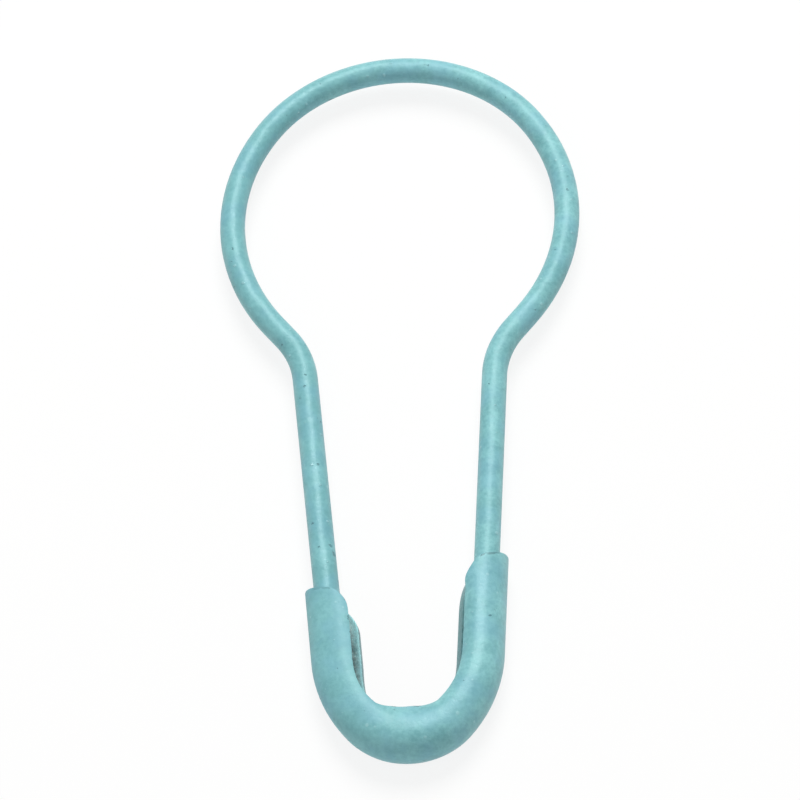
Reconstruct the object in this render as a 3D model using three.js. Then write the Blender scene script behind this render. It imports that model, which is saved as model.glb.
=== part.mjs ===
import * as THREE from 'three';

// Bulb safety pin lying flat on its back, in millimetres.
// X runs across the pin, Y along it towards the bulb and Z up from the surface it lies on.
// The pin arm, which swings into the guard, is on the -X side and the fixed arm on the +X side.

// Overall size, from the foot of the cap to the top of the bulb
const overallLength = 22.0;

// Spring wire
const wireDiameter = 0.67;

// Bulb bends on the wire's centreline, the same on both sides of the crown
const crownRadius = 4.28;
const crownSweepDegrees = 55.7;
const flankRadius = 5.34;
const flankSweepDegrees = 72.3;
const neckStraight = 0.51;
const neckRadius = 2.51;

// How far each arm leans in towards the other, from the pin's length
const fixedArmLeanDegrees = 2.5;
const pinArmLeanDegrees = 5.1;

// Point of the pin arm
const pointAboveFoot = 1.9;
const pointTaper = 2.6;
const pointBluntness = 0.045;

// Play between the two halves of the wire at the crown, where the bulb flexes
const flexGap = 0.07;

// Folded sheet cap: its inside is wide enough for the wire with play above, below and beside it
const capSheet = 0.2;
const wallClearance = 0.03;
const flapClearance = 0.105;
const flapPastWire = 0.41;

// Legs of the cap, measured from the foot to the outer corner of each leg's end
const guardLegHeight = 5.1;
const fixedLegHeight = 5.92;
const guardFlareDegrees = 4.6;

// Outline of the cap's bend: a wide arc at each shoulder, and between them the foot's arc, whose
// radius follows from the two arms
const shoulderRadius = 4.0;
const shoulderSweepDegrees = 35;

// The fixed arm stops a little past the start of the cap's bend, which it fills
const fixedEndPastBend = 0.25;

// Free edges of the flaps: where they start to curl in, and the slot left between them
const curlStart = 0.13;
const guardSlotPlay = 0.1;
const bendSlot = 0.5;
const crimpSlot = 0.3;
const slotCloseStartDegrees = 10;
const slotCloseEndDegrees = 75;

// Ends of the legs: the flaps' inner corners are cut back in a long curve with a small round
const fixedCornerCut = 0.42;
const fixedCornerRun = 1.7;
const guardCornerCut = 0.28;
const guardCornerRun = 1.0;
const endRound = 0.12;

// The legs' ends slope back towards the flaps' free edges: drop for each mm in from the fold
const endSlope = 0.36;
const endSlopeRun = 1.6;

// The front flap is set back along the guard and into the bend, so that the point is easy to press in
const guardSetback = 0.22;
const setbackFadeStartDegrees = 50;
const setbackFadeEndDegrees = 95;

// Facets
const wireSides = 20;
const wireArcStepDegrees = 5.5;
const taperSteps = 6;
const foldSteps = 14;
const flapSteps = 5;
const legSteps = 12;
const capArcStepDegrees = 6;
const shoulderStepDegrees = 4;

// Sizes that follow from the ones above
const wireRadius = wireDiameter / 2;
const foldRadius = wireRadius + flapClearance + capSheet;
const midHeight = foldRadius;
const wallSeat = capSheet + wallClearance + wireRadius;
const flapWidth = wallSeat + wireRadius + flapPastWire;
const flapFlatEnd = foldRadius + curlStart;
const innerHeight = 2 * (foldRadius - capSheet);
const footY = -overallLength / 2;
const crownY = overallLength / 2 - wireRadius;
const guardTopY = footY + guardLegHeight;
const fixedTopY = footY + fixedLegHeight;
const guardSlot = wireDiameter + guardSlotPlay;

const radians = THREE.MathUtils.degToRad;
const smoothstep = THREE.MathUtils.smoothstep;

// A station is a place on a flat path with its heading, counter-clockwise from +X in radians.
function ahead(station, length) {
  return {
    x: station.x + length * Math.cos(station.heading),
    y: station.y + length * Math.sin(station.heading),
    heading: station.heading,
  };
}

// Stations round an arc that turns left for turn 1 and right for turn -1, without its first one.
function arcStations(start, radius, sweep, turn, step) {
  const count = Math.max(1, Math.ceil(sweep / step));
  const centreX = start.x - turn * radius * Math.sin(start.heading);
  const centreY = start.y + turn * radius * Math.cos(start.heading);
  const stations = [];
  for (let i = 1; i <= count; i += 1) {
    const heading = start.heading + (turn * radians(sweep) * i) / count;
    stations.push({
      x: centreX + turn * radius * Math.sin(heading),
      y: centreY - turn * radius * Math.cos(heading),
      heading,
    });
  }
  return stations;
}

// Half of the bulb, from beside the crown to the end of the neck bend. side is 1 for +X, -1 for -X.
function bulbHalf(side, lean) {
  const trim = flexGap / 2 / crownRadius;
  const neckSweep = crownSweepDegrees + flankSweepDegrees - 90 - lean;
  const stations = [{
    x: side * crownRadius * Math.sin(trim),
    y: crownY - crownRadius * (1 - Math.cos(trim)),
    heading: (side > 0 ? 0 : Math.PI) - side * trim,
  }];
  const last = () => stations[stations.length - 1];
  const crownRest = crownSweepDegrees - THREE.MathUtils.radToDeg(trim);
  stations.push(...arcStations(last(), crownRadius, crownRest, -side, wireArcStepDegrees));
  stations.push(...arcStations(last(), flankRadius, flankSweepDegrees, -side, wireArcStepDegrees));
  stations.push(ahead(last(), neckStraight));
  stations.push(...arcStations(last(), neckRadius, neckSweep, side, wireArcStepDegrees));
  return stations;
}

// The place where a straight arm, carried on from a station, reaches a height on the pin's length.
function reachY(station, y) {
  return ahead(station, (y - station.y) / Math.sin(station.heading));
}

// One side of the cap's bend, from the foot up to its leg. side is 1 for +X, -1 for -X.
function bendRise(foot, side, leanDegrees) {
  const start = { x: foot.x, y: footY, heading: side > 0 ? 0 : Math.PI };
  const footSweep = 90 - leanDegrees - shoulderSweepDegrees;
  const footArc = arcStations(start, foot.radius, footSweep, side, capArcStepDegrees);
  const shoulder = footArc[footArc.length - 1];
  const shoulderArc = arcStations(shoulder, shoulderRadius, shoulderSweepDegrees, side, shoulderStepDegrees);
  return [...footArc, ...shoulderArc];
}

// A leg's outer wall has to run beside its arm, at the wire's seat in the cap. That gives one
// straight-line condition on the foot: a times its place along X and b times its radius make c.
function wallCondition(side, leanDegrees, armPoint) {
  const cos = Math.cos(radians(leanDegrees));
  const sin = Math.sin(radians(leanDegrees));
  const footSweep = radians(90 - leanDegrees - shoulderSweepDegrees);
  const shoulderAcross = shoulderRadius * (cos - Math.sin(footSweep));
  const shoulderUp = shoulderRadius * (Math.cos(footSweep) - sin);
  return {
    a: side * cos,
    b: cos * Math.sin(footSweep) - sin * (1 - Math.cos(footSweep)),
    c: wallSeat + cos * (side * armPoint.x - shoulderAcross) + sin * (footY + shoulderUp - armPoint.y),
  };
}

// Place and radius of the foot's arc: the fixed leg runs along the fixed arm, and the guard's wall
// meets the pin arm at the mouth of the guard.
function capFoot(fixedNeck, pinNeck) {
  const fixed = wallCondition(1, fixedArmLeanDegrees, fixedNeck);
  const guard = wallCondition(-1, guardFlareDegrees, reachY(pinNeck, guardTopY));
  const determinant = fixed.a * guard.b - guard.a * fixed.b;
  return {
    x: (fixed.c * guard.b - guard.c * fixed.b) / determinant,
    radius: (fixed.a * guard.c - guard.a * fixed.c) / determinant,
  };
}

// Round wire section. Sections are drawn with x to the left of the path, y up and z ahead.
function wireSection(radius) {
  return Array.from({ length: wireSides }, (_, i) => {
    const angle = (2 * Math.PI * i) / wireSides;
    return new THREE.Vector3(radius * Math.cos(angle), radius * Math.sin(angle), 0);
  });
}

// How far each flap's free edge has to drop to leave a slot of this width.
function flapCurl(slot) {
  return (innerHeight - slot) / 2;
}

// How far in a flap of the full width reaches. A flap that curls in more reaches less far.
function flapReach(slot) {
  const curl = flapCurl(slot);
  return flapWidth - (2 * curl * curl) / (3 * (flapWidth - flapFlatEnd));
}

// Height of a flap's outer face over the wire's middle plane, at a distance in from the fold.
function flapHeight(inward, slot) {
  const share = Math.max(0, inward - flapFlatEnd) / (flapReach(slot) - flapFlatEnd);
  return foldRadius - flapCurl(slot) * share * share;
}

// Open section of the folded sheet: back flap, round fold, front flap, then the inside back again.
// slope is how far each point lies ahead for each mm in from the fold.
function capSection({ frontReach, backReach, slot, slope }) {
  const points = [];
  const flap = (reach, upSign, drop, outwards) => {
    for (let i = 0; i <= flapSteps; i += 1) {
      const share = outwards ? 1 - i / flapSteps : i / flapSteps;
      const inward = foldRadius + (reach - foldRadius) * share;
      points.push(new THREE.Vector3(-inward, upSign * (flapHeight(inward, slot) - drop), slope * inward));
    }
  };
  const fold = (radius, direction) => {
    for (let i = 1; i < foldSteps; i += 1) {
      const angle = direction * Math.PI * (i / foldSteps - 0.5);
      const inward = foldRadius - radius * Math.cos(angle);
      points.push(new THREE.Vector3(-inward, radius * Math.sin(angle), slope * inward));
    }
  };
  flap(backReach, -1, 0, true);
  fold(foldRadius, 1);
  flap(frontReach, 1, 0, false);
  flap(frontReach, 1, capSheet, true);
  fold(foldRadius - capSheet, -1);
  flap(backReach, -1, capSheet, false);
  return points;
}

// Skins a row of sections along flat stations and closes both ends.
function loft(stations, sections) {
  const sides = sections[0].length;
  const positions = [];
  stations.forEach((station, k) => {
    const cos = Math.cos(station.heading);
    const sin = Math.sin(station.heading);
    sections[k].forEach((point) => {
      positions.push(station.x - sin * point.x + cos * point.z);
      positions.push(station.y + cos * point.x + sin * point.z);
      positions.push(midHeight + point.y);
    });
  });
  const index = [];
  for (let k = 0; k + 1 < stations.length; k += 1) {
    for (let j = 0; j < sides; j += 1) {
      const near = k * sides + j;
      const nearNext = k * sides + ((j + 1) % sides);
      index.push(near, nearNext, near + sides);
      index.push(nearNext, nearNext + sides, near + sides);
    }
  }
  const lastRing = (stations.length - 1) * sides;
  THREE.ShapeUtils.triangulateShape(sections[0], []).forEach(([a, b, c]) => index.push(a, c, b));
  THREE.ShapeUtils.triangulateShape(sections[sections.length - 1], []).forEach(([a, b, c]) => {
    index.push(lastRing + a, lastRing + b, lastRing + c);
  });
  const geometry = new THREE.BufferGeometry();
  geometry.setAttribute('position', new THREE.Float32BufferAttribute(positions, 3));
  geometry.setIndex(index);
  geometry.computeVertexNormals();
  return geometry;
}

// Fixed half of the wire: from the crown round the bulb and down into the crimped leg of the cap.
function fixedHalf(neckStations, foot) {
  const rise = bendRise(foot, 1, fixedArmLeanDegrees);
  const bendStart = rise[rise.length - 1].y + wallSeat * Math.sin(radians(fixedArmLeanDegrees));
  const neck = neckStations[neckStations.length - 1];
  const stations = [...neckStations, reachY(neck, bendStart - fixedEndPastBend)];
  return loft(stations, stations.map(() => wireSection(wireRadius)));
}

// Pin half of the wire: it ends in a long ground point that stays inside the guard.
function pinHalf(neckStations) {
  const neck = neckStations[neckStations.length - 1];
  const tip = reachY(neck, footY + pointAboveFoot);
  const stations = [...neckStations];
  const sections = neckStations.map(() => wireSection(wireRadius));
  for (let i = 0; i <= taperSteps; i += 1) {
    const fromTip = pointTaper * (1 - i / taperSteps);
    const swell = Math.sin((Math.PI / 2) * (fromTip / pointTaper));
    stations.push(ahead(tip, -fromTip));
    sections.push(wireSection(pointBluntness + (wireRadius - pointBluntness) * swell));
  }
  return loft(stations, sections);
}

// What the cut-back corner at a leg's end takes off a flap, at a distance from that end.
function cornerLoss(fromEnd, cut, run) {
  const long = Math.max(0, 1 - fromEnd / run);
  const short = Math.max(0, 1 - fromEnd / endRound);
  return cut * long * long + endRound * (1 - Math.sqrt(1 - short * short));
}

// What the set-back edge takes off the front flap, at an angle round the bend from the guard.
function setbackLoss(fromGuardDegrees) {
  const share = 1 - smoothstep(fromGuardDegrees, setbackFadeStartDegrees, setbackFadeEndDegrees);
  return guardSetback * share;
}

// How steeply a leg's stations slope back, at a distance from its end.
function slopeBack(fromEnd) {
  const share = Math.max(0, 1 - fromEnd / endSlopeRun);
  return endSlope * share * share;
}

// Distances from a leg's end, closer together near the end, where its outline curves.
function legDistances(length) {
  return Array.from(
    { length: legSteps + 1 },
    (_, i) => length * (1 - Math.cos((Math.PI / 2) * (i / legSteps))),
  );
}

// Folded cap, from the end of the fixed leg round the bend to the end of the guard.
function cap(foot) {
  const fixedRise = bendRise(foot, 1, fixedArmLeanDegrees);
  const guardRise = bendRise(foot, -1, guardFlareDegrees);
  const turnRound = (station) => ({ ...station, heading: station.heading + Math.PI });
  const fixedTangent = turnRound(fixedRise[fixedRise.length - 1]);
  const guardTangent = guardRise[guardRise.length - 1];
  const fixedLength = (fixedTopY - fixedTangent.y) / Math.cos(radians(fixedArmLeanDegrees));
  const guardLength = (guardTopY - guardTangent.y) / Math.cos(radians(guardFlareDegrees));
  const stations = [];
  const sections = [];
  const add = (station, section) => {
    stations.push(station);
    sections.push(capSection(section));
  };

  legDistances(fixedLength).forEach((fromEnd) => {
    const reach = flapReach(crimpSlot) - cornerLoss(fromEnd, fixedCornerCut, fixedCornerRun);
    add(ahead(fixedTangent, fromEnd - fixedLength), {
      frontReach: reach,
      backReach: reach,
      slot: crimpSlot,
      slope: slopeBack(fromEnd),
    });
  });

  const footStation = { x: foot.x, y: footY, heading: Math.PI };
  const bend = [...fixedRise.slice(0, -1).reverse().map(turnRound), footStation, ...guardRise];
  const sweep = 180 - fixedArmLeanDegrees - guardFlareDegrees;
  bend.forEach((station) => {
    const fromGuard = THREE.MathUtils.radToDeg(station.heading) - 90 - guardFlareDegrees;
    const fromFixed = sweep - fromGuard;
    const closing = smoothstep(fromGuard, slotCloseStartDegrees, slotCloseEndDegrees);
    const crimping = 1 - smoothstep(fromFixed, slotCloseStartDegrees, slotCloseEndDegrees);
    const slot = guardSlot + (bendSlot - guardSlot) * closing + (crimpSlot - bendSlot) * crimping;
    const backReach = flapReach(slot);
    add(station, { frontReach: backReach - setbackLoss(fromGuard), backReach, slot, slope: 0 });
  });

  legDistances(guardLength).reverse().slice(1).forEach((fromEnd) => {
    const backReach = flapReach(guardSlot) - cornerLoss(fromEnd, guardCornerCut, guardCornerRun);
    add(ahead(guardTangent, guardLength - fromEnd), {
      frontReach: backReach - setbackLoss(0),
      backReach,
      slot: guardSlot,
      slope: -slopeBack(fromEnd),
    });
  });
  return loft(stations, sections);
}

// Satin enamel on the wire and a slightly softer coat on the stamped cap
const wireEnamel = new THREE.MeshStandardMaterial({ color: 0x82bcc0, roughness: 0.4, metalness: 0.1 });
const capEnamel = new THREE.MeshStandardMaterial({ color: 0x86bdc1, roughness: 0.5, metalness: 0.1 });

function piece(name, geometry, material) {
  const mesh = new THREE.Mesh(geometry, material);
  mesh.name = name;
  return mesh;
}

const fixedNeckStations = bulbHalf(1, fixedArmLeanDegrees);
const pinNeckStations = bulbHalf(-1, pinArmLeanDegrees);
const fixedNeck = fixedNeckStations[fixedNeckStations.length - 1];
const pinNeck = pinNeckStations[pinNeckStations.length - 1];
const foot = capFoot(fixedNeck, pinNeck);

const pin = new THREE.Group();
pin.add(piece('fixed_arm_wire', fixedHalf(fixedNeckStations, foot), wireEnamel));
pin.add(piece('pin_arm_wire', pinHalf(pinNeckStations), wireEnamel));
pin.add(piece('folded_cap', cap(foot), capEnamel));

export default pin;
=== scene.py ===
import math
import bmesh
import bpy
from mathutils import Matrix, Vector, noise


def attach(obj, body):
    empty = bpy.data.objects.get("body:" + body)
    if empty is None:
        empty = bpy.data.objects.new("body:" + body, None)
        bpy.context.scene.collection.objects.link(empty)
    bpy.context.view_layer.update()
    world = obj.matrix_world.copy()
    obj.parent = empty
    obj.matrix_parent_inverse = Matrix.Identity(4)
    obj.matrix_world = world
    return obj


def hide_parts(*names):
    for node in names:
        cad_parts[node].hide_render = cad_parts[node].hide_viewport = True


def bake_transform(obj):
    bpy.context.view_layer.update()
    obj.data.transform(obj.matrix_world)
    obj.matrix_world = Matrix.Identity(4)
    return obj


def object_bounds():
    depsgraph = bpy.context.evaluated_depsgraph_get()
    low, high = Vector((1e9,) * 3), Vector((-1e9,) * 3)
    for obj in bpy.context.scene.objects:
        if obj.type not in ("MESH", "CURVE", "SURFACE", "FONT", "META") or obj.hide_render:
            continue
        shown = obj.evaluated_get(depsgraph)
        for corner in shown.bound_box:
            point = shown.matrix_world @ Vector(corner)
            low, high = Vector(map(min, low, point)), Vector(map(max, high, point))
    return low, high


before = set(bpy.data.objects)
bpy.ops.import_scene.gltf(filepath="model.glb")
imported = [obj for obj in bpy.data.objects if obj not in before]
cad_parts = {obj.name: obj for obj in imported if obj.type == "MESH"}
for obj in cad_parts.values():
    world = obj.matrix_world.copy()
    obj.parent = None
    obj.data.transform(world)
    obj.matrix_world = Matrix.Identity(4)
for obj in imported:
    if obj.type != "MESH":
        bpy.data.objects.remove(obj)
cad_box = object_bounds()

MM = 0.001
HALF_TURN = math.pi
QUARTER_TURN = HALF_TURN / 2

# The pin as it stands in the frame: the lowest and highest corners of its outline
PIN_LOW, PIN_HIGH = cad_box
FOOT_Y = PIN_LOW.y
MIDDLE_Z = (PIN_LOW.z + PIN_HIGH.z) / 2

# Spring wire and its bends, on the wire's centreline
WIRE_RADIUS = 0.333 * MM
CROWN_RADIUS = 4.28 * MM
CROWN_SWEEP = math.radians(55.7)
FLANK_RADIUS = 5.34 * MM
FLANK_SWEEP = math.radians(72.3)
NECK_STRAIGHT = 0.51 * MM
NECK_RADIUS = 2.51 * MM
FIXED_ARM_LEAN = math.radians(2.5)
PIN_ARM_LEAN = math.radians(5.1)
POINT_ABOVE_FOOT = 1.9 * MM
POINT_TAPER = 2.6 * MM
POINT_RADIUS = 0.03 * MM
FIXED_END_Y = -8.1 * MM

# Folded sheet cap: its legs, and the bend of three arcs between them
CAP_SHEET = 0.2 * MM
WALL_SEAT = 0.565 * MM           # from the wire's centreline out to the wall's outer face
GUARD_TOP_Y = FOOT_Y + 5.1 * MM
FIXED_TOP_Y = FOOT_Y + 5.92 * MM
GUARD_FLARE = math.radians(4.6)
SHOULDER_RADIUS = 4.0 * MM
SHOULDER_SWEEP = math.radians(35)
BEND_TURN = 180 - math.degrees(FIXED_ARM_LEAN + GUARD_FLARE)

# Its section: a rounded fold on the outside, from which two flaps reach in and curl towards a slot
FOLD_RADIUS = (PIN_HIGH.z - PIN_LOW.z) / 2 - 0.004 * MM
GUARD_ROUNDING = 0.9 * MM        # how far in the fold is round at the guard
FLAP_WIDTH = 1.31 * MM
CRIMP_SPREAD = 0.04 * MM         # how much wider the flaps are where they are crimped
NARROWEST_FLAP = 0.055 * MM
FLAP_FLAT_END = 0.77 * MM        # where the flaps start to curl in
CRIMP_FLAT_END = 0.69 * MM
GUARD_SLOT = 0.77 * MM
BEND_SLOT = 0.5 * MM
CRIMP_SLOT = 0.3 * MM
SLOT_CLOSE = (10, 75)            # degrees round the bend from either leg

# Inner edge of the bend: it swells in its middle and is drawn in at the corners to either side
BEND_MIDDLE = 86                 # degrees round the bend from the guard
INNER_SWELL = 0.08 * MM
INNER_CORNERS = (0.15 * MM, 0.04 * MM)   # on the guard's side, on the fixed leg's side
INNER_CORNER_ANGLE = 58
INNER_CORNER_FADE = 1.7

# Depth and length of the corners cut off the two legs: back flap, front flap
FIXED_CORNERS = ((0.14 * MM, 1.4 * MM), (0.52 * MM, 1.9 * MM))
GUARD_CORNERS = ((0.28 * MM, 1.0 * MM), (0.48 * MM, 1.1 * MM))

# How much narrower the front flap is beside each leg, and how far from the leg's end it is fully so
FIXED_SETBACK = (0.21 * MM, 1.2 * MM)
GUARD_SETBACK = (0.22 * MM, 0.0)
SETBACK_RUN = 0.8 * MM
SETBACK_FADE = (5, 75)           # degrees round the bend from either leg

# The legs' ends slope down towards the flaps' free edges
END_SLOPE = 0.36
END_SLOPE_RUN = 1.6 * MM
END_ROUND = 0.12 * MM
EDGE_ROUND = 0.05 * MM

# Dents all over the flaps, and gathers inside the bend, which rise and fade between these angles
DENT_SIZE = 0.8 * MM
DENT_DEPTH = 0.012 * MM
PUCKER_DEPTH = 0.015 * MM
PUCKERS = 9.5                    # gathers in a full turn
PUCKER_SHIFT = 1.1
PUCKERS_RISE = (48, 66)
PUCKERS_FADE = (96, 122)

# Facets of the new pieces
WIRE_SIDES = 28
FIXED_ARM_RINGS = 24
PIN_ARM_RINGS = 20
NECK_RINGS = 2
POINT_RINGS = 14
ARC_STEP = math.radians(3.0)
FOLD_FACETS = 20
FLAP_FACETS = 9
LEG_FACETS = 30
WELD = 0.0005 * MM
SMOOTHING = math.radians(40)
SHEET_SMOOTHING = math.radians(50)
SHARP_EDGE = math.radians(60)


def heading_vector(heading):
    return Vector((math.cos(heading), math.sin(heading), 0.0))


def left_vector(heading):
    return Vector((-math.sin(heading), math.cos(heading), 0.0))


class BendPath:
    """A flat path of straights and arcs. turn is 1 for a left bend and -1 for a right bend."""

    def __init__(self, point, heading):
        self.point = Vector(point)
        self.heading = heading

    def straight(self, length):
        step = heading_vector(self.heading) * length
        self.point = self.point + step
        return step

    def arc(self, radius, sweep, turn):
        centre = self.point + left_vector(self.heading) * (turn * radius)
        self.heading += turn * sweep
        self.point = centre - left_vector(self.heading) * (turn * radius)
        return centre

    def straight_to_y(self, y):
        return self.straight((y - self.point.y) / math.sin(self.heading))


def deselect_all():
    bpy.ops.object.select_all(action="DESELECT")


def extrude_straight(path, length, steps):
    """Extrudes what is selected along the path."""
    step = path.straight(length) / steps
    for _ in range(steps):
        bpy.ops.mesh.extrude_region_move(TRANSFORM_OT_translate={"value": step})


def spin_bend(path, radius, sweep, turn, facet):
    """Spins what is selected round the path's next bend. The operator turns right for a positive angle."""
    centre = path.arc(radius, sweep, turn)
    steps = max(2, round(sweep / facet))
    bpy.ops.mesh.spin(steps=steps, angle=-turn * sweep, center=centre, axis=(0, 0, 1))


def close_ring(mesh, keep):
    """Fills one open end: the boundary edges whose two points pass the test."""
    bm = bmesh.from_edit_mesh(mesh)
    for edge in bm.edges:
        edge.select_set(edge.is_boundary and all(keep(v.co) for v in edge.verts))
    bmesh.update_edit_mesh(mesh)
    bpy.ops.mesh.edge_face_add()


def neck_sweep(lean):
    return CROWN_SWEEP + FLANK_SWEEP - QUARTER_TURN - lean


def neck_end(side, lean):
    """Path from the crown down one side of the bulb to the start of its straight arm."""
    crown = Vector((0, PIN_HIGH.y - WIRE_RADIUS, MIDDLE_Z))
    path = BendPath(crown, 0.0 if side > 0 else HALF_TURN)
    path.arc(CROWN_RADIUS, CROWN_SWEEP, -side)
    path.arc(FLANK_RADIUS, FLANK_SWEEP, -side)
    path.straight(NECK_STRAIGHT)
    path.arc(NECK_RADIUS, neck_sweep(lean), side)
    return path


def wall_condition(side, lean, arm_point):
    """A leg's wall runs beside its arm at the wire's seat: a times the foot's place and b times its
    radius make c."""
    foot_sweep = QUARTER_TURN - lean - SHOULDER_SWEEP
    across = SHOULDER_RADIUS * (math.cos(lean) - math.sin(foot_sweep))
    rise = SHOULDER_RADIUS * (math.cos(foot_sweep) - math.sin(lean))
    a = side * math.cos(lean)
    b = math.cos(lean) * math.sin(foot_sweep) - math.sin(lean) * (1 - math.cos(foot_sweep))
    c = (WALL_SEAT + math.cos(lean) * (side * arm_point.x - across)
         + math.sin(lean) * (FOOT_Y + rise - arm_point.y))
    return a, b, c


class CapLeg:
    """One straight leg of the cap and the shoulder arc below it. side is 1 for +X and -1 for -X."""

    def __init__(self, side, lean, top_y, corners, setback, foot_centre, foot_radius):
        self.side = side
        self.lean = lean
        self.corners = corners
        self.setback = setback
        self.out = Vector((side * math.cos(lean), -math.sin(lean), 0))
        self.up = Vector((side * math.sin(lean), math.cos(lean), 0))
        self.foot_sweep = QUARTER_TURN - lean - SHOULDER_SWEEP
        joint = Vector((side * math.sin(self.foot_sweep), -math.cos(self.foot_sweep), 0))
        self.centre = foot_centre + joint * (foot_radius - SHOULDER_RADIUS)
        self.tangent = self.centre + self.out * SHOULDER_RADIUS
        self.length = (top_y - self.tangent.y) / math.cos(lean)


class CapOutline:
    """The cap's outer edge: two legs, a shoulder under each, and between them the arc of the foot."""

    def __init__(self):
        pin = neck_end(-1, PIN_ARM_LEAN)
        pin.straight_to_y(GUARD_TOP_Y)
        a1, b1, c1 = wall_condition(1, FIXED_ARM_LEAN, neck_end(1, FIXED_ARM_LEAN).point)
        a2, b2, c2 = wall_condition(-1, GUARD_FLARE, pin.point)
        determinant = a1 * b2 - a2 * b1
        self.radius = (a1 * c2 - a2 * c1) / determinant
        self.centre = Vector(((c1 * b2 - c2 * b1) / determinant, FOOT_Y + self.radius, MIDDLE_Z))
        foot = self.centre, self.radius
        self.fixed = CapLeg(1, FIXED_ARM_LEAN, FIXED_TOP_Y, FIXED_CORNERS, FIXED_SETBACK, *foot)
        self.guard = CapLeg(-1, GUARD_FLARE, GUARD_TOP_Y, GUARD_CORNERS, GUARD_SETBACK, *foot)

    def leg(self, co):
        return self.fixed if co.x > self.centre.x else self.guard


def model_wire():
    """The whole spring wire in one piece, bent as on a former: fixed arm, bulb, pin arm and point."""
    path = neck_end(1, FIXED_ARM_LEAN)
    neck_y = path.point.y
    path.straight_to_y(FIXED_END_Y)
    path.heading += HALF_TURN
    deselect_all()
    bpy.ops.mesh.primitive_circle_add(
        vertices=WIRE_SIDES, radius=WIRE_RADIUS, location=path.point,
        rotation=(QUARTER_TURN, 0, path.heading - QUARTER_TURN))
    wire = bpy.context.object
    wire.name = "spring_wire"
    bpy.ops.object.transform_apply(location=True, rotation=True, scale=True)
    bpy.ops.object.mode_set(mode="EDIT")
    bpy.ops.mesh.select_all(action="SELECT")

    arm = (neck_y - path.point.y) / math.sin(path.heading)
    extrude_straight(path, arm, FIXED_ARM_RINGS)
    spin_bend(path, NECK_RADIUS, neck_sweep(FIXED_ARM_LEAN), -1, ARC_STEP)
    extrude_straight(path, NECK_STRAIGHT, NECK_RINGS)
    spin_bend(path, FLANK_RADIUS, FLANK_SWEEP, 1, ARC_STEP)
    spin_bend(path, CROWN_RADIUS, 2 * CROWN_SWEEP, 1, ARC_STEP)
    spin_bend(path, FLANK_RADIUS, FLANK_SWEEP, 1, ARC_STEP)
    extrude_straight(path, NECK_STRAIGHT, NECK_RINGS)
    spin_bend(path, NECK_RADIUS, neck_sweep(PIN_ARM_LEAN), -1, ARC_STEP)
    tip_length = (FOOT_Y + POINT_ABOVE_FOOT - path.point.y) / math.sin(path.heading)
    extrude_straight(path, tip_length - POINT_TAPER, PIN_ARM_RINGS)
    grind_point(path)

    bpy.ops.mesh.edge_face_add()
    close_ring(wire.data, lambda co: co.x > 0)
    finish_mesh()
    keep_places(wire)
    return wire


def keep_places(piece):
    """Keeps the place of every point at rest, so that the marks on the enamel move with the wire."""
    kept = piece.data.attributes.new("rest_place", "FLOAT_VECTOR", "POINT")
    for vert, entry in zip(piece.data.vertices, kept.data):
        entry.vector = vert.co


def grind_point(path):
    """Draws the selected ring out into a long convex point."""
    radius = WIRE_RADIUS
    for ring in range(1, POINT_RINGS + 1):
        swell = math.sin(QUARTER_TURN * (1 - ring / POINT_RINGS))
        wanted = POINT_RADIUS + (WIRE_RADIUS - POINT_RADIUS) * swell
        extrude_straight(path, POINT_TAPER / POINT_RINGS, 1)
        share = wanted / radius
        bpy.ops.transform.resize(value=(share, share, share), center_override=path.point)
        radius = wanted


def finish_mesh():
    """Closes the seams of the mesh being edited, turns its faces outward and smooths it."""
    bpy.ops.mesh.select_all(action="SELECT")
    bpy.ops.mesh.remove_doubles(threshold=WELD)
    bpy.ops.mesh.normals_make_consistent(inside=False)
    bpy.ops.object.mode_set(mode="OBJECT")
    bpy.ops.object.shade_smooth_by_angle(angle=SMOOTHING)
    deselect_all()


def smooth_step(value, low, high):
    share = min(1.0, max(0.0, (value - low) / (high - low)))
    return share * share * (3 - 2 * share)


def rise_angle(flat, side):
    """Angle of a point round a centre, from straight below it up towards one side."""
    return math.atan2(side * flat.x, -flat.y)


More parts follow.
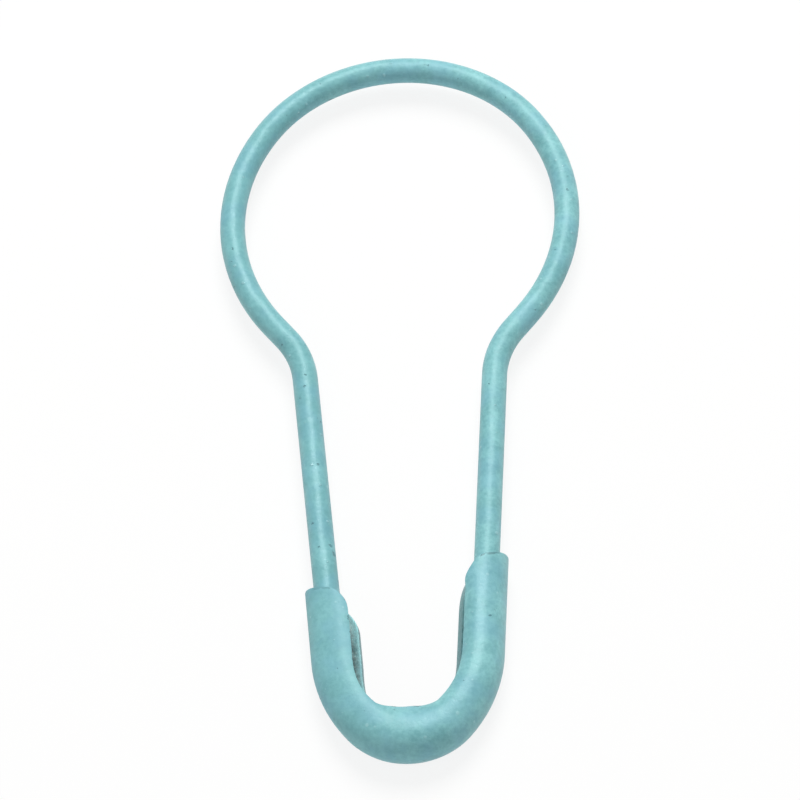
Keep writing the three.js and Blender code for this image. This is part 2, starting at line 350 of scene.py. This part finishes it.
class CapPlace:
    """Where a point of the cap lies: how far in from the fold, round the bend and from its leg's end."""

    def __init__(self, co, outline):
        leg = outline.leg(co)
        self.corners = leg.corners
        self.from_end = math.inf
        self.up = leg.up
        flat = Vector((co.x - outline.centre.x, co.y - outline.centre.y, 0))
        radius = outline.radius
        rise = rise_angle(flat, leg.side)
        if rise > leg.foot_sweep:
            flat = Vector((co.x - leg.centre.x, co.y - leg.centre.y, 0))
            radius = SHOULDER_RADIUS
            rise = rise_angle(flat, leg.side)
        self.outward = flat.normalized()
        self.inward = radius - flat.length
        if rise > QUARTER_TURN - leg.lean:
            rise = QUARTER_TURN - leg.lean
            self.outward = leg.out
            self.inward = radius - flat.dot(leg.out)
            self.from_end = leg.length - flat.dot(leg.up)
        self.from_guard = math.degrees(QUARTER_TURN - GUARD_FLARE + leg.side * rise)
        self.front = co.z > MIDDLE_Z
        self.form_section(leg.setback)

    def form_section(self, leg_setback):
        """The cap's section here: its fold is widest at the guard and its slot closes towards the crimp."""
        start, end = SLOT_CLOSE
        closed = smooth_step(self.from_guard, start, end)
        crimped = smooth_step(self.from_guard, BEND_TURN - end, BEND_TURN - start)
        slot = GUARD_SLOT + (BEND_SLOT - GUARD_SLOT) * closed + (CRIMP_SLOT - BEND_SLOT) * crimped
        self.curl = FOLD_RADIUS - CAP_SHEET - slot / 2
        self.rounding = GUARD_ROUNDING + (FOLD_RADIUS - GUARD_ROUNDING) * closed
        self.flat_end = FLAP_FLAT_END + (CRIMP_FLAT_END - FLAP_FLAT_END) * crimped
        self.width = FLAP_WIDTH + CRIMP_SPREAD * crimped
        from_leg = min(self.from_guard, BEND_TURN - self.from_guard)
        depth, full_from = leg_setback
        depth *= smooth_step(self.from_end, full_from - SETBACK_RUN, full_from)
        self.setback = depth * (1 - smooth_step(from_leg, *SETBACK_FADE)) if self.front else 0.0

    def reach(self):
        """How far in the flap's free edge lies. The front flap is the narrower one beside both legs."""
        depth, run = self.corners[self.front]
        cut = depth * max(0.0, 1 - self.from_end / run) ** 2
        end_cut = min(1.0, max(0.0, 1 - self.from_end / END_ROUND))
        from_middle = abs(self.from_guard - BEND_MIDDLE) / INNER_CORNER_ANGLE
        corner = math.cos(HALF_TURN * from_middle) * (1 - smooth_step(from_middle, 1, INNER_CORNER_FADE))
        corner *= INNER_SWELL if corner > 0 else INNER_CORNERS[self.from_guard > BEND_MIDDLE]
        reach = self.width - 2 * self.curl ** 2 / (3 * (self.width - self.flat_end))
        reach += corner - math.hypot(cut, self.setback)
        reach -= END_ROUND * (1 - math.sqrt(1 - end_cut ** 2))
        return max(reach, FOLD_RADIUS + NARROWEST_FLAP)

    def drop(self, inward, reach):
        """How far the face lies below the cap's top, or above its underside, at a distance from the fold."""
        share = max(0.0, 1 - inward / self.rounding)
        rounded = FOLD_RADIUS * (1 - math.sqrt(max(0.0, 1 - share ** 2)))
        turned = max(0.0, inward - self.flat_end)
        full = max(reach, self.width - self.setback)
        return rounded + self.curl * (turned / (full - self.flat_end)) ** 2

    def pucker(self):
        """Small gathers, from 0 to 1, where the flaps are pressed together inside the bend."""
        wave = 0.5 + 0.5 * math.sin(math.radians(self.from_guard) * PUCKERS + PUCKER_SHIFT)
        rise = smooth_step(self.from_guard, *PUCKERS_RISE)
        return wave * rise * (1 - smooth_step(self.from_guard, *PUCKERS_FADE))


def form_cap(cap, outline):
    """Cuts back the flaps' corners, curls their edges in and leaves the marks of the folding."""
    bm = bmesh.from_edit_mesh(cap.data)
    from_end = bm.verts.layers.float.new("from_end")
    from_free_edge = bm.verts.layers.float.new("from_free_edge")
    for vert in bm.verts:
        co = vert.co
        place = CapPlace(co, outline)
        inward = place.inward
        vert[from_end] = min(place.from_end, FIXED_TOP_Y - FOOT_Y)
        vert[from_free_edge] = FLAP_WIDTH - inward
        reach = place.reach()
        share = max(0.0, inward - FOLD_RADIUS) / (FLAP_WIDTH - FOLD_RADIUS)
        if share:
            inward = FOLD_RADIUS + share * (reach - FOLD_RADIUS)
        uneven = 0.5 + 0.5 * noise.noise(Vector((co.x, co.y, 0)) / DENT_SIZE)
        dents = (DENT_DEPTH * uneven + PUCKER_DEPTH * place.pucker()) * share ** 2
        height = FOLD_RADIUS - place.drop(inward, reach) - dents
        sloped = END_SLOPE * max(0.0, 1 - place.from_end / END_SLOPE_RUN) ** 2
        co -= place.outward * (inward - place.inward) + place.up * (sloped * inward)
        co.z = MIDDLE_Z + (height if place.front else -height)
    bmesh.update_edit_mesh(cap.data)


def model_cap(outside, inside, cut_edge):
    """The folded cap: a fold and two flaps, drawn down the fixed leg, round the bend and up the guard."""
    outline = CapOutline()
    fixed, guard = outline.fixed, outline.guard
    outward = fixed.out
    path = BendPath(fixed.tangent + fixed.up * fixed.length, -QUARTER_TURN - fixed.lean)
    fold_centre = path.point - outward * FOLD_RADIUS

    deselect_all()
    bpy.ops.mesh.primitive_circle_add(
        vertices=2 * FOLD_FACETS, radius=FOLD_RADIUS, location=fold_centre,
        rotation=(QUARTER_TURN, 0, -fixed.lean))
    cap = bpy.context.object
    cap.name = "enamelled_cap"
    bpy.ops.object.transform_apply(location=True, rotation=True, scale=True)
    bpy.ops.object.mode_set(mode="EDIT")

    def select_points(test):
        bm = bmesh.from_edit_mesh(cap.data)
        bpy.ops.mesh.select_all(action="DESELECT")
        for vert in bm.verts:
            vert.select_set(test(vert.co))
        bm.select_flush_mode()
        bmesh.update_edit_mesh(cap.data)

    nudge = 0.001 * MM
    select_points(lambda co: (co - fold_centre).dot(outward) < -nudge)
    bpy.ops.mesh.delete(type="VERT")
    select_points(lambda co: (co - fold_centre).dot(outward) < nudge)
    flap_step = -outward * (FLAP_WIDTH - FOLD_RADIUS) / FLAP_FACETS
    for _ in range(FLAP_FACETS):
        bpy.ops.mesh.extrude_vertices_move(TRANSFORM_OT_translate={"value": flap_step})
    bpy.ops.mesh.select_all(action="SELECT")
    extrude_straight(path, fixed.length, LEG_FACETS)
    spin_bend(path, SHOULDER_RADIUS, SHOULDER_SWEEP, -1, ARC_STEP)
    spin_bend(path, outline.radius, fixed.foot_sweep + guard.foot_sweep, -1, ARC_STEP)
    spin_bend(path, SHOULDER_RADIUS, SHOULDER_SWEEP, -1, ARC_STEP)
    extrude_straight(path, guard.length, LEG_FACETS)
    form_cap(cap, outline)
    finish_mesh()
    face_outwards(cap)

    for material in (outside, inside, cut_edge):
        cap.data.materials.append(material)
    sheet = cap.modifiers.new("sheet", "SOLIDIFY")
    sheet.thickness = CAP_SHEET
    sheet.offset = -1
    sheet.use_even_offset = True
    sheet.material_offset = 1
    sheet.material_offset_rim = 2
    edges = cap.modifiers.new("edges", "BEVEL")
    edges.width = EDGE_ROUND
    edges.segments = 3
    edges.limit_method = "ANGLE"
    edges.angle_limit = SHARP_EDGE
    bpy.context.view_layer.objects.active = cap
    cap.select_set(True)
    for modifier in ("sheet", "edges"):
        bpy.ops.object.modifier_apply(modifier=modifier)
    bpy.ops.object.shade_smooth_by_angle(angle=SHEET_SMOOTHING)
    deselect_all()
    return cap


def face_outwards(cap):
    """Turns the open shell so that the fold's faces look away from the inside of the bend."""
    foot = min(cap.data.polygons, key=lambda face: face.center.y)
    if foot.normal.y > 0:
        cap.data.flip_normals()


# Colours of the enamel, and of the steel under it
LIGHT_TURQUOISE = (0.31, 0.665, 0.69, 1)
DULL_TURQUOISE = (0.255, 0.575, 0.605, 1)
DEEP_TURQUOISE = (0.18, 0.45, 0.48, 1)
BLUER_TURQUOISE = (0.205, 0.475, 0.59, 1)
# Pale nib colour: a painted glint on the dust nibs
PALE_NIB_GLINT = (0.5, 0.8, 0.84, 1)
DARK_PIT = (0.04, 0.12, 0.16, 1)
# Dark line colour: partly rubbed enamel, partly painted shade at the legs' ends and the flaps' edges
RUBBED_EDGE_AND_SHADE = (0.06, 0.15, 0.18, 1)
SHEEN = (0.72, 0.96, 1.0, 1)
DULL_STEEL = ((0.1, 0.16, 0.165, 1), (0.26, 0.365, 0.365, 1))
GROUND_STEEL = ((0.34, 0.36, 0.36, 1), (0.6, 0.61, 0.6, 1))
STEEL_STAIN = (0.035, 0.045, 0.05, 1)

# Scale of each pattern, in features to the metre
CLOUDS = 1500.0
BLUER_CLOUDS = 1100.0
BROAD_WAVES = 1300.0
ORANGE_PEEL = 2900.0
DUST_NIBS_AND_GLINTS = 4800.0
LARGE_PITS = 3000.0
SPECKS = 5600.0
RAGGED_RIMS = 5200.0
CAP_GRAIN = 7500.0
WIRE_GRAIN = 8500.0
STEEL_GRAIN = 7000.0
STEEL_STAINS = 1500.0
WORN_PATCHES = 2600.0
RUBBED_PATCHES = 3600.0
OVERSPRAY = 5600.0

RAGGEDNESS = 0.3 * MM            # how far the rims of the pits stray
PATTERN_SHIFT = (0.05, 0.02, 0.03)
DULL_TO_LIGHT_X = (-3 * MM, 2 * MM)
WIRE_RELIEF = 0.012 * MM
CAP_RELIEF = 0.009 * MM
STEEL_RELIEF = 0.006 * MM

# The enamel ends in patches over a length of the point, round this middle, and is pitted above it
WEAR_SPREAD = 3.2 * MM
WEAR_EDGE = 0.06 * MM
WEAR_MIDDLE_Y = GUARD_TOP_Y - 1.0 * MM + WEAR_SPREAD / 2
PITTED_LENGTH = 4 * MM

# Dark lines on the cap: painted shade where the wire enters the legs' ends, which fades out with the
# distance from the wire's middle and is fainter at the guard, and lines along the flaps, partly rubbed and
# partly painted shade
END_SHADE_LINE = 0.09 * MM
BESIDE_WIRE = (0.25 * MM, 0.45 * MM)
GUARD_TO_FIXED_X = (-1 * MM, 1 * MM)
FLAP_WEAR_AND_SHADE_LINE = 0.06 * MM
LINE_DARKNESS = 0.6


def new_group(name, inputs, outputs):
    """A shader node group with its sockets, and its two ends."""
    group = bpy.data.node_groups.new(name, "ShaderNodeTree")
    for socket, kind, value in inputs:
        made = group.interface.new_socket(name=socket, in_out="INPUT", socket_type=kind)
        if value is not None:
            made.default_value = value
    for socket, kind in outputs:
        group.interface.new_socket(name=socket, in_out="OUTPUT", socket_type=kind)
    start = group.nodes.new("NodeGroupInput")
    end = group.nodes.new("NodeGroupOutput")
    return group, start, end


def add_noise(tree, vector, scale, detail, roughness=0.55, color=False):
    node = tree.nodes.new("ShaderNodeTexNoise")
    node.inputs["Detail"].default_value = detail
    node.inputs["Roughness"].default_value = roughness
    if isinstance(scale, (int, float)):
        node.inputs["Scale"].default_value = scale
    else:
        tree.links.new(scale, node.inputs["Scale"])
    tree.links.new(vector, node.inputs["Vector"])
    return node.outputs["Color" if color else "Fac"]


def add_range(tree, value, low, high, to_low=0.0, to_high=1.0):
    """Turns the values from low to high into those from to_low to to_high, softly at both ends."""
    node = tree.nodes.new("ShaderNodeMapRange")
    node.interpolation_type = "SMOOTHSTEP"
    node.inputs["From Min"].default_value = low
    node.inputs["From Max"].default_value = high
    node.inputs["To Min"].default_value = to_low
    node.inputs["To Max"].default_value = to_high
    tree.links.new(value, node.inputs["Value"])
    return node.outputs["Result"]


def add_math(tree, operation, *values):
    node = tree.nodes.new("ShaderNodeMath")
    node.operation = operation
    for socket, value in zip(node.inputs, values):
        if isinstance(value, (int, float)):
            socket.default_value = value
        else:
            tree.links.new(value, socket)
    return node.outputs["Value"]


def add_axes(tree, vector):
    node = tree.nodes.new("ShaderNodeSeparateXYZ")
    tree.links.new(vector, node.inputs["Vector"])
    return node.outputs


def add_mix(tree, share, a, b):
    node = tree.nodes.new("ShaderNodeMix")
    node.data_type = "RGBA"
    sockets = {s.identifier: s for s in node.inputs}
    for name, value in (("Factor_Float", share), ("A_Color", a), ("B_Color", b)):
        if isinstance(value, (int, float, tuple)):
            sockets[name].default_value = value
        else:
            tree.links.new(value, sockets[name])
    return next(s for s in node.outputs if s.identifier == "Result_Color")


def add_spots(tree, vector, scale, share, radius):
    """Scattered round spots in this share of the cells, 1 in the middle of a spot and 0 outside it."""
    cells = tree.nodes.new("ShaderNodeTexVoronoi")
    cells.inputs["Scale"].default_value = scale
    tree.links.new(vector, cells.inputs["Vector"])
    chance = tree.nodes.new("ShaderNodeSeparateColor")
    tree.links.new(cells.outputs["Color"], chance.inputs["Color"])
    chosen = add_math(tree, "LESS_THAN", chance.outputs["Red"], share)
    size = add_math(tree, "MULTIPLY_ADD", chance.outputs["Green"], radius, 0.4 * radius)
    near = add_range(tree, add_math(tree, "DIVIDE", cells.outputs["Distance"], size), 0.5, 1.0, 1.0, 0.0)
    return add_math(tree, "MULTIPLY", near, chosen)


def make_enamel_coat():
    """Sprayed enamel: cloudy tone and hue, fine grain, orange peel, dust nibs painted pale as a painted
    glint, and small dark pits. It is deeper in tone on the pin arm's side, where Dulling adds to its
    roughness. Nibs is the nibs' height and Nib Gloss how much smoother they are."""
    tree, start, end = new_group(
        "enamel_coat",
        (("Vector", "NodeSocketVector", None),
         ("Light", "NodeSocketColor", LIGHT_TURQUOISE),
         ("Dull", "NodeSocketColor", DULL_TURQUOISE),
         ("Deep", "NodeSocketColor", DEEP_TURQUOISE),
         ("Grain Scale", "NodeSocketFloat", 8000.0),
         ("Roughness", "NodeSocketFloat", 0.4),
         ("Dulling", "NodeSocketFloat", 0.0),
         ("Nibs", "NodeSocketFloat", 0.3),
         ("Nib Gloss", "NodeSocketFloat", 0.0),
         ("Waves", "NodeSocketFloat", 2.0),
         ("Pits", "NodeSocketFloat", 0.1)),
        (("Color", "NodeSocketColor"), ("Roughness", "NodeSocketFloat"), ("Height", "NodeSocketFloat")))
    vector = start.outputs["Vector"]
    shifted = tree.nodes.new("ShaderNodeVectorMath")
    shifted.inputs[1].default_value = PATTERN_SHIFT
    tree.links.new(vector, shifted.inputs[0])
    shifted = shifted.outputs["Vector"]

    clouds = add_range(tree, add_noise(tree, vector, CLOUDS, 4.0), 0.32, 0.68)
    grain = add_range(tree, add_noise(tree, vector, start.outputs["Grain Scale"], 3.0, 0.65), 0.28, 0.72)
    tone = add_math(tree, "MULTIPLY_ADD", clouds, 0.45, add_math(tree, "MULTIPLY", grain, 0.55))
    dull = add_range(tree, add_axes(tree, vector)["X"], *DULL_TO_LIGHT_X, 1.0, 0.0)
    light = add_mix(tree, dull, start.outputs["Light"], start.outputs["Dull"])
    coat = add_mix(tree, tone, start.outputs["Deep"], light)
    bluer = add_range(tree, add_noise(tree, shifted, BLUER_CLOUDS, 3.0), 0.42, 0.68)
    coat = add_mix(tree, add_math(tree, "MULTIPLY", bluer, 0.45), coat, BLUER_TURQUOISE)

    nib_with_glint = add_spots(tree, vector, DUST_NIBS_AND_GLINTS, 0.2, 0.24)
    # The nibs are painted pale: a painted glint, on top of their real bump and smoother gloss
    coat = add_mix(tree, add_math(tree, "MULTIPLY", nib_with_glint, 0.3), coat, PALE_NIB_GLINT)
    ragged = tree.nodes.new("ShaderNodeVectorMath")
    ragged.operation = "MULTIPLY_ADD"
    ragged.inputs[1].default_value = (RAGGEDNESS, RAGGEDNESS, RAGGEDNESS)
    tree.links.new(add_noise(tree, vector, RAGGED_RIMS, 3.0, color=True), ragged.inputs[0])
    tree.links.new(vector, ragged.inputs[2])
    ragged = ragged.outputs["Vector"]
    pit = add_spots(tree, ragged, LARGE_PITS, start.outputs["Pits"], 0.2)
    pit = add_math(tree, "MAXIMUM", pit, add_spots(tree, ragged, SPECKS, 0.05, 0.2))
    coat = add_mix(tree, add_math(tree, "MULTIPLY", pit, 0.55), coat, DARK_PIT)
    tree.links.new(coat, end.inputs["Color"])

    rough = add_math(tree, "MULTIPLY_ADD", grain, 0.16, start.outputs["Roughness"])
    rough = add_math(tree, "MULTIPLY_ADD", dull, start.outputs["Dulling"], rough)
    gloss = add_math(tree, "MULTIPLY", nib_with_glint, start.outputs["Nib Gloss"])
    tree.links.new(add_math(tree, "SUBTRACT", rough, gloss), end.inputs["Roughness"])

    peel = add_math(tree, "MULTIPLY_ADD", grain, 0.35, add_noise(tree, vector, ORANGE_PEEL, 2.0))
    wave = add_noise(tree, shifted, BROAD_WAVES, 1.0)
    peel = add_math(tree, "MULTIPLY_ADD", wave, start.outputs["Waves"], peel)
    raised = add_math(tree, "MULTIPLY_ADD", nib_with_glint, start.outputs["Nibs"], peel)
    tree.links.new(add_math(tree, "SUBTRACT", raised, pit), end.inputs["Height"])
    return tree


def make_bare_steel():
    """Steel that the enamel did not reach: finely speckled, with dark stains."""
    tree, start, end = new_group(
        "bare_steel",
        (("Vector", "NodeSocketVector", None),
         ("Dark", "NodeSocketColor", DULL_STEEL[0]),
         ("Bright", "NodeSocketColor", DULL_STEEL[1]),
         ("Stain", "NodeSocketFloat", 0.5)),
        (("Color", "NodeSocketColor"), ("Roughness", "NodeSocketFloat"), ("Height", "NodeSocketFloat")))
    vector = start.outputs["Vector"]
    grain = add_noise(tree, vector, STEEL_GRAIN, 4.0, 0.75)
    speckle = add_range(tree, grain, 0.36, 0.66)
    steel = add_mix(tree, speckle, start.outputs["Dark"], start.outputs["Bright"])
    stain = add_range(tree, add_noise(tree, vector, STEEL_STAINS, 4.0), 0.36, 0.62)
    stained = add_math(tree, "MULTIPLY", stain, start.outputs["Stain"])
    tree.links.new(add_mix(tree, stained, steel, STEEL_STAIN), end.inputs["Color"])
    tree.links.new(add_range(tree, grain, 0.3, 0.7, 0.35, 0.6), end.inputs["Roughness"])
    tree.links.new(grain, end.inputs["Height"])
    return tree


def read_attribute(tree, name, output="Fac"):
    node = tree.nodes.new("ShaderNodeAttribute")
    node.attribute_name = name
    return node.outputs[output]


def new_material(name, places=None):
    """A material whose patterns lie on Object coordinates, or on the places kept in an attribute."""
    material = bpy.data.materials.new(name)
    material.use_nodes = True
    tree = material.node_tree
    shader = tree.nodes["Principled BSDF"]
    if places:
        place = read_attribute(tree, places, "Vector")
    else:
        place = tree.nodes.new("ShaderNodeTexCoord").outputs["Object"]
    return material, tree, shader, place


def place_group(tree, group, vector, **values):
    """Places a group in a material, with its own values for the group's inputs."""
    node = tree.nodes.new("ShaderNodeGroup")
    node.node_tree = group
    tree.links.new(vector, node.inputs["Vector"])
    for name, value in values.items():
        socket = node.inputs[name.replace("_", " ")]
        if isinstance(value, (float, tuple)):
            socket.default_value = value
        else:
            tree.links.new(value, socket)
    return node.outputs


def add_bump(tree, shader, height, distance):
    bump = tree.nodes.new("ShaderNodeBump")
    bump.inputs["Distance"].default_value = distance
    bump.inputs["Strength"].default_value = 1.0
    tree.links.new(height, bump.inputs["Height"])
    tree.links.new(bump.outputs["Normal"], shader.inputs["Normal"])


def wire_enamel(coat, steel):
    """Enamel on the wire, worn away where the point slides in the guard and pitted above it."""
    material, tree, shader, place = new_material("wire_enamel", places="rest_place")
    axes = add_axes(tree, place)
    on_pin_arm = add_math(tree, "LESS_THAN", axes["X"], 0.0)
    pitted = add_range(tree, axes["Y"], GUARD_TOP_Y, GUARD_TOP_Y + PITTED_LENGTH, 0.45, 0.08)
    pits = add_math(tree, "MULTIPLY", on_pin_arm, pitted)
    paint = place_group(tree, coat, place, Grain_Scale=WIRE_GRAIN, Roughness=0.36, Dulling=-0.03,
                        Nibs=0.8, Nib_Gloss=0.25, Waves=6.0, Pits=pits)
    metal = place_group(tree, steel, place, Dark=GROUND_STEEL[0], Bright=GROUND_STEEL[1], Stain=0.2)

    patchy = add_noise(tree, place, WORN_PATCHES, 5.0, 0.7)
    height = add_math(tree, "MULTIPLY_ADD", patchy, WEAR_SPREAD, axes["Y"])
    low = add_range(tree, height, WEAR_MIDDLE_Y - WEAR_EDGE, WEAR_MIDDLE_Y + WEAR_EDGE, 1.0, 0.0)
    worn = add_math(tree, "MULTIPLY", low, on_pin_arm)
    rougher = add_math(tree, "SUBTRACT", metal["Roughness"], paint["Roughness"])
    rough = add_math(tree, "MULTIPLY_ADD", worn, rougher, paint["Roughness"])
    tree.links.new(add_mix(tree, worn, paint["Color"], metal["Color"]), shader.inputs["Base Color"])
    tree.links.new(rough, shader.inputs["Roughness"])
    tree.links.new(add_math(tree, "MULTIPLY", worn, 0.75), shader.inputs["Metallic"])
    shader.inputs["Specular Tint"].default_value = SHEEN
    add_bump(tree, shader, paint["Height"], WIRE_RELIEF)
    return material


def cap_enamel(coat):
    """Enamel on the cap, with painted shade where the wire enters the legs' ends, and dark lines along the
    flaps, partly rubbed and partly painted shade.
    """
    material, tree, shader, place = new_material("cap_enamel")
    paint = place_group(tree, coat, place, Grain_Scale=CAP_GRAIN, Roughness=0.32, Dulling=0.12, Pits=0.02)
    patchy = add_noise(tree, place, RUBBED_PATCHES, 3.0)
    from_end = read_attribute(tree, "from_end")
    from_free_edge = read_attribute(tree, "from_free_edge")

    # Painted shade: a dark line across each leg's end where the wire enters it, fading beside the wire and
    # fainter at the guard
    end_width = add_range(tree, patchy, 0.35, 0.55, 0.0, END_SHADE_LINE)
    from_wire = add_math(tree, "SUBTRACT", from_free_edge, FLAP_WIDTH - WALL_SEAT)
    beside_wire = add_range(tree, add_math(tree, "ABSOLUTE", from_wire), *BESIDE_WIRE, 1.0, 0.0)
    stronger = add_range(tree, add_axes(tree, place)["X"], *GUARD_TO_FIXED_X, 0.45, 1.0)
    end_shade_line = add_math(tree, "MULTIPLY", add_math(tree, "LESS_THAN", from_end, end_width), beside_wire)
    end_shade_line = add_math(tree, "MULTIPLY", end_shade_line, stronger)
    # A broken dark line along the flaps' free edges: partly rubbed enamel, partly painted shade
    flap_width = add_range(tree, patchy, 0.56, 0.7, 0.0, FLAP_WEAR_AND_SHADE_LINE)
    flap_wear_and_shade_line = add_math(tree, "LESS_THAN", from_free_edge, flap_width)
    line = add_math(tree, "MULTIPLY", add_math(tree, "MAXIMUM", end_shade_line, flap_wear_and_shade_line), LINE_DARKNESS)
    tree.links.new(add_mix(tree, line, paint["Color"], RUBBED_EDGE_AND_SHADE), shader.inputs["Base Color"])
    tree.links.new(paint["Roughness"], shader.inputs["Roughness"])
    shader.inputs["Specular Tint"].default_value = SHEEN
    add_bump(tree, shader, paint["Height"], CAP_RELIEF)
    return material


def thin_coat(name, coat, steel, reach, hold, cover):
    """Steel with overspray that thins out with the distance in from the flaps' free edges and the legs'
    ends. Where it is thickest, cover is the share of it that hides the steel."""
    material, tree, shader, place = new_material(name)
    paint = place_group(tree, coat, place, Grain_Scale=CAP_GRAIN, Roughness=0.5, Pits=0.2)
    metal = place_group(tree, steel, place, Stain=0.45)
    inside = add_math(
        tree, "MINIMUM", read_attribute(tree, "from_end"), read_attribute(tree, "from_free_edge"))
    ragged = add_math(tree, "MULTIPLY_ADD", add_noise(tree, place, OVERSPRAY, 5.0, 0.75), -reach, inside)
    spray = add_math(tree, "MULTIPLY", add_range(tree, ragged, 0.05 * reach, -hold * reach), cover)
    tree.links.new(add_mix(tree, spray, metal["Color"], paint["Color"]), shader.inputs["Base Color"])
    tree.links.new(metal["Roughness"], shader.inputs["Roughness"])
    tree.links.new(add_math(tree, "SUBTRACT", 1.0, spray), shader.inputs["Metallic"])
    add_bump(tree, shader, metal["Height"], STEEL_RELIEF)
    return material


# The photograph's camera: it looked down at the table from this height and distance, at a place
# beside the pin, and is turned from there to face the pin itself
PHOTO_HEADING = math.radians(-2.92)
PHOTO_ELEVATION = math.radians(57.0)
PHOTO_DISTANCE = 194.5 * MM
PHOTO_TARGET = Vector((17.35 * MM, -2.76 * MM, MIDDLE_Z))
FILLED_SHARE = 0.88              # of the picture's height
SENSOR = 36.0

WORLD_STRENGTH = 0.26
TABLE_SIZE = 1.2
TABLE_GAP = 0.01 * MM
TABLE_GLOW = 0.86                # share of plain white where the camera or a reflection sees the table


def add_camera():
    back = Vector((
        math.sin(PHOTO_HEADING) * math.cos(PHOTO_ELEVATION),
        -math.cos(PHOTO_HEADING) * math.cos(PHOTO_ELEVATION),
        math.sin(PHOTO_ELEVATION)))
    data = bpy.data.cameras.new("camera")
    camera = bpy.data.objects.new("camera", data)
    bpy.context.scene.collection.objects.link(camera)
    camera.location = PHOTO_TARGET + back * PHOTO_DISTANCE
    level = (-back).to_track_quat("-Z", "Y")
    aim = (Vector((0, 0, MIDDLE_Z)) - camera.location).normalized()
    camera.rotation_mode = "QUATERNION"
    camera.rotation_quaternion = (-back).rotation_difference(aim) @ level
    distance = (camera.location - Vector((0, 0, MIDDLE_Z))).length
    seen_height = (PIN_HIGH.y - PIN_LOW.y) * math.sin(PHOTO_ELEVATION) / FILLED_SHARE
    data.sensor_width = SENSOR
    data.lens = SENSOR * distance / seen_height
    data.clip_start = 10 * MM
    data.clip_end = 2.0
    bpy.context.scene.camera = camera


def add_area_light(name, location, size, power, color):
    data = bpy.data.lights.new(name, "AREA")
    data.shape = "DISK"
    data.size = size
    data.energy = power
    data.color = color
    light = bpy.data.objects.new(name, data)
    bpy.context.scene.collection.objects.link(light)
    light.location = location
    light.rotation_mode = "QUATERNION"
    light.rotation_quaternion = (-Vector(location)).to_track_quat("-Z", "Y")


def add_light():
    add_area_light("softbox", (0.015, 0.13, 0.19), size=0.14, power=0.49, color=(1.0, 0.99, 0.97))
    add_area_light("fill_panel", (-0.07, -0.13, 0.12), size=0.2, power=0.06, color=(0.96, 0.98, 1.0))
    world = bpy.data.worlds.new("studio")
    bpy.context.scene.world = world
    world.use_nodes = True
    background = world.node_tree.nodes["Background"]
    background.inputs["Color"].default_value = (1, 1, 1, 1)
    background.inputs["Strength"].default_value = WORLD_STRENGTH


def add_floor():
    """White table: it shows white to the camera and in reflections, and keeps a faint shadow."""
    deselect_all()
    bpy.ops.mesh.primitive_plane_add(size=TABLE_SIZE, location=(0, 0, PIN_LOW.z - TABLE_GAP))
    floor = bpy.context.object
    floor.name = "white_table"
    material, tree, shader, _ = new_material("white_table")
    shader.inputs["Base Color"].default_value = (0.95, 0.95, 0.95, 1)
    shader.inputs["Roughness"].default_value = 0.8
    glow = tree.nodes.new("ShaderNodeEmission")
    glow.inputs["Strength"].default_value = 1.0
    rays = tree.nodes.new("ShaderNodeLightPath")
    seen = add_math(tree, "MAXIMUM", rays.outputs["Is Camera Ray"], rays.outputs["Is Glossy Ray"])
    seen = add_math(tree, "MAXIMUM", seen, rays.outputs["Is Transmission Ray"])
    blend = tree.nodes.new("ShaderNodeMixShader")
    tree.links.new(add_math(tree, "MULTIPLY", seen, TABLE_GLOW), blend.inputs["Fac"])
    tree.links.new(shader.outputs["BSDF"], blend.inputs[1])
    tree.links.new(glow.outputs["Emission"], blend.inputs[2])
    tree.links.new(blend.outputs["Shader"], tree.nodes["Material Output"].inputs["Surface"])
    floor.data.materials.append(material)


bpy.context.scene.view_settings.view_transform = "Standard"
add_camera()
add_light()
add_floor()

enamel = make_enamel_coat()
steel = make_bare_steel()

cap = model_cap(
    outside=cap_enamel(enamel),
    inside=thin_coat("cap_inside", enamel, steel, reach=0.55 * MM, hold=0.7, cover=0.8),
    cut_edge=thin_coat("cap_cut_edge", enamel, steel, reach=0.3 * MM, hold=0.3, cover=0.45))
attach(cap, "cap_and_fixed_arm")
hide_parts("folded_cap")

wire = model_wire()
wire.data.materials.append(wire_enamel(enamel, steel))
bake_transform(wire)
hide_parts("fixed_arm_wire", "pin_arm_wire")
